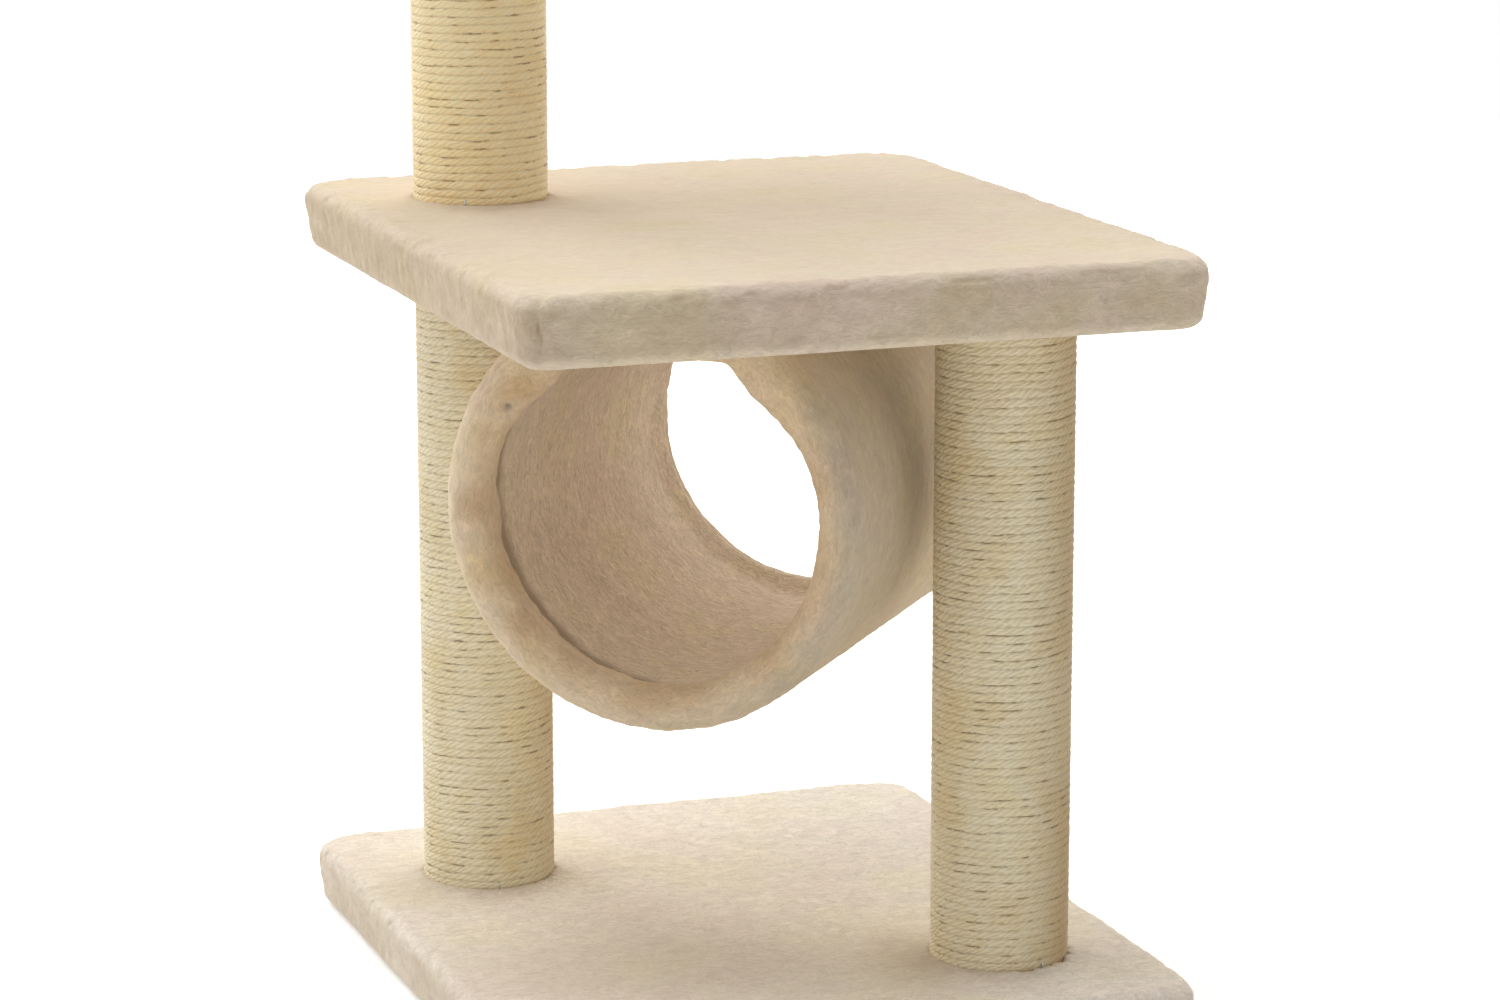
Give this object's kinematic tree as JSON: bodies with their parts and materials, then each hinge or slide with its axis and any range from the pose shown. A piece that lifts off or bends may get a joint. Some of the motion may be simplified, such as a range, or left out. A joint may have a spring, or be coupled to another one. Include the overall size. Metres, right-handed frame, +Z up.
{
  "type": "cat tree",
  "caption": "Free-standing cat tree: plush base, rope-wound posts on a diagonal, a platform with a lined tunnel slung below, and a small perch on the upper post.",
  "frame": {"origin": "middle of the base's underside, on the floor", "axes": "+X to the right along the base's front edge, +Y to the back, +Z up"},
  "size_m": [0.3, 0.35, 0.654],
  "materials": {
    "plush": "short cream pile",
    "lining_plush": "short beige pile",
    "sisal_rope": "wound twisted sisal",
    "foam": "soft open-cell foam",
    "particle_board": "raw particle board",
    "cardboard": "spiral wound board",
    "cap_plastic": "matte moulded",
    "zinc_steel": "zinc plated"
  },
  "bodies": {
    "root": {"base_board": "particle_board", "base_cover": "plush", "base_left_bolt": "zinc_steel", "base_left_washer": "zinc_steel", "base_right_bolt": "zinc_steel", "base_right_washer": "zinc_steel", "left_post_bottom_cap": "cap_plastic", "left_post_bottom_nut": "zinc_steel", "left_post_core": "cardboard", "left_post_rope": "sisal_rope", "left_post_top_cap": "cap_plastic", "left_post_top_nut": "zinc_steel", "perch_board": "particle_board", "perch_cover": "plush", "perch_liner": "plush", "perch_stud": "zinc_steel", "perch_tee_nut": "zinc_steel", "platform_board": "particle_board", "platform_cover": "plush", "platform_liner": "plush", "platform_long_stud": "zinc_steel", "platform_short_stud": "zinc_steel", "platform_tee_nut": "zinc_steel", "right_post_bottom_cap": "cap_plastic", "right_post_bottom_nut": "zinc_steel", "right_post_core": "cardboard", "right_post_rope": "sisal_rope", "right_post_top_cap": "cap_plastic", "right_post_top_nut": "zinc_steel", "tunnel_back_padding": "foam", "tunnel_back_screw": "zinc_steel", "tunnel_back_washer": "zinc_steel", "tunnel_core": "cardboard", "tunnel_cover": "plush", "tunnel_front_padding": "foam", "tunnel_front_screw": "zinc_steel", "tunnel_front_washer": "zinc_steel", "tunnel_lining": "lining_plush", "upper_post_bottom_cap": "cap_plastic", "upper_post_bottom_nut": "zinc_steel", "upper_post_core": "cardboard", "upper_post_rope": "sisal_rope", "upper_post_top_cap": "cap_plastic", "upper_post_top_nut": "zinc_steel"}
  },
  "joints": []
}
